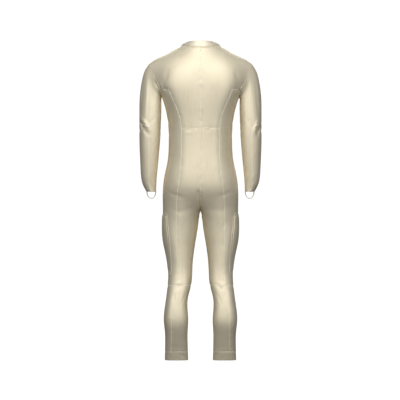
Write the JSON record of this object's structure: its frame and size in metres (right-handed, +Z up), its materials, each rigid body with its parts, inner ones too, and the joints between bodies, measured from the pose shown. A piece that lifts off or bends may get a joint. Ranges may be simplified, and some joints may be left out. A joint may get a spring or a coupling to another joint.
{
  "type": "ski race suit",
  "caption": "One-piece stretch ski race suit in its worn hollow form, with long sleeves and legs, a low collar, a front zip, finger loops and raised thigh panels.",
  "frame": {"origin": "in the middle of the neck opening, level with the side of the neck, where the wearer's neck and shoulders carry the suit", "axes": "+X to the wearer's left, +Y to the wearer's back, +Z up along the suit's length"},
  "size_m": [0.5654, 0.2251, 1.4684],
  "materials": {
    "cloth": "smooth satin stretch knit, cream",
    "elastic": "narrow woven elastic, cream",
    "zip_tape": "woven zip tape, cream",
    "metal": "cast and brushed zip metal"
  },
  "bodies": {
    "suit": {"back_upper_L": "cloth", "back_upper_R": "cloth", "seat_back_L": "cloth", "seat_back_R": "cloth", "side_L": "cloth", "side_R": "cloth", "front_L": "cloth", "front_R": "cloth", "calf_outer_L": "cloth", "calf_outer_R": "cloth", "calf_inner_L": "cloth", "calf_inner_R": "cloth", "ankle_band_L": "cloth", "ankle_band_R": "cloth", "sleeve_L": "cloth", "sleeve_R": "cloth", "forearm_panel_L": "cloth", "forearm_panel_R": "cloth", "finger_loop_L": "elastic", "finger_loop_R": "elastic", "thigh_panel_L": "cloth", "thigh_panel_R": "cloth", "zip_tape_L": "zip_tape", "zip_tape_R": "zip_tape", "collar": "cloth", "zip_slider": "metal"},
    "pull_tab": {"zip_pull_tab": "metal"}
  },
  "joints": [
    {"name": "pull_tab_hinge", "type": "hinge", "parent": "suit", "child": "pull_tab", "pos_m": [0, -0.06326, -0.02563], "axis": [-1, 0, 0], "range_deg": [0, 150]}
  ]
}
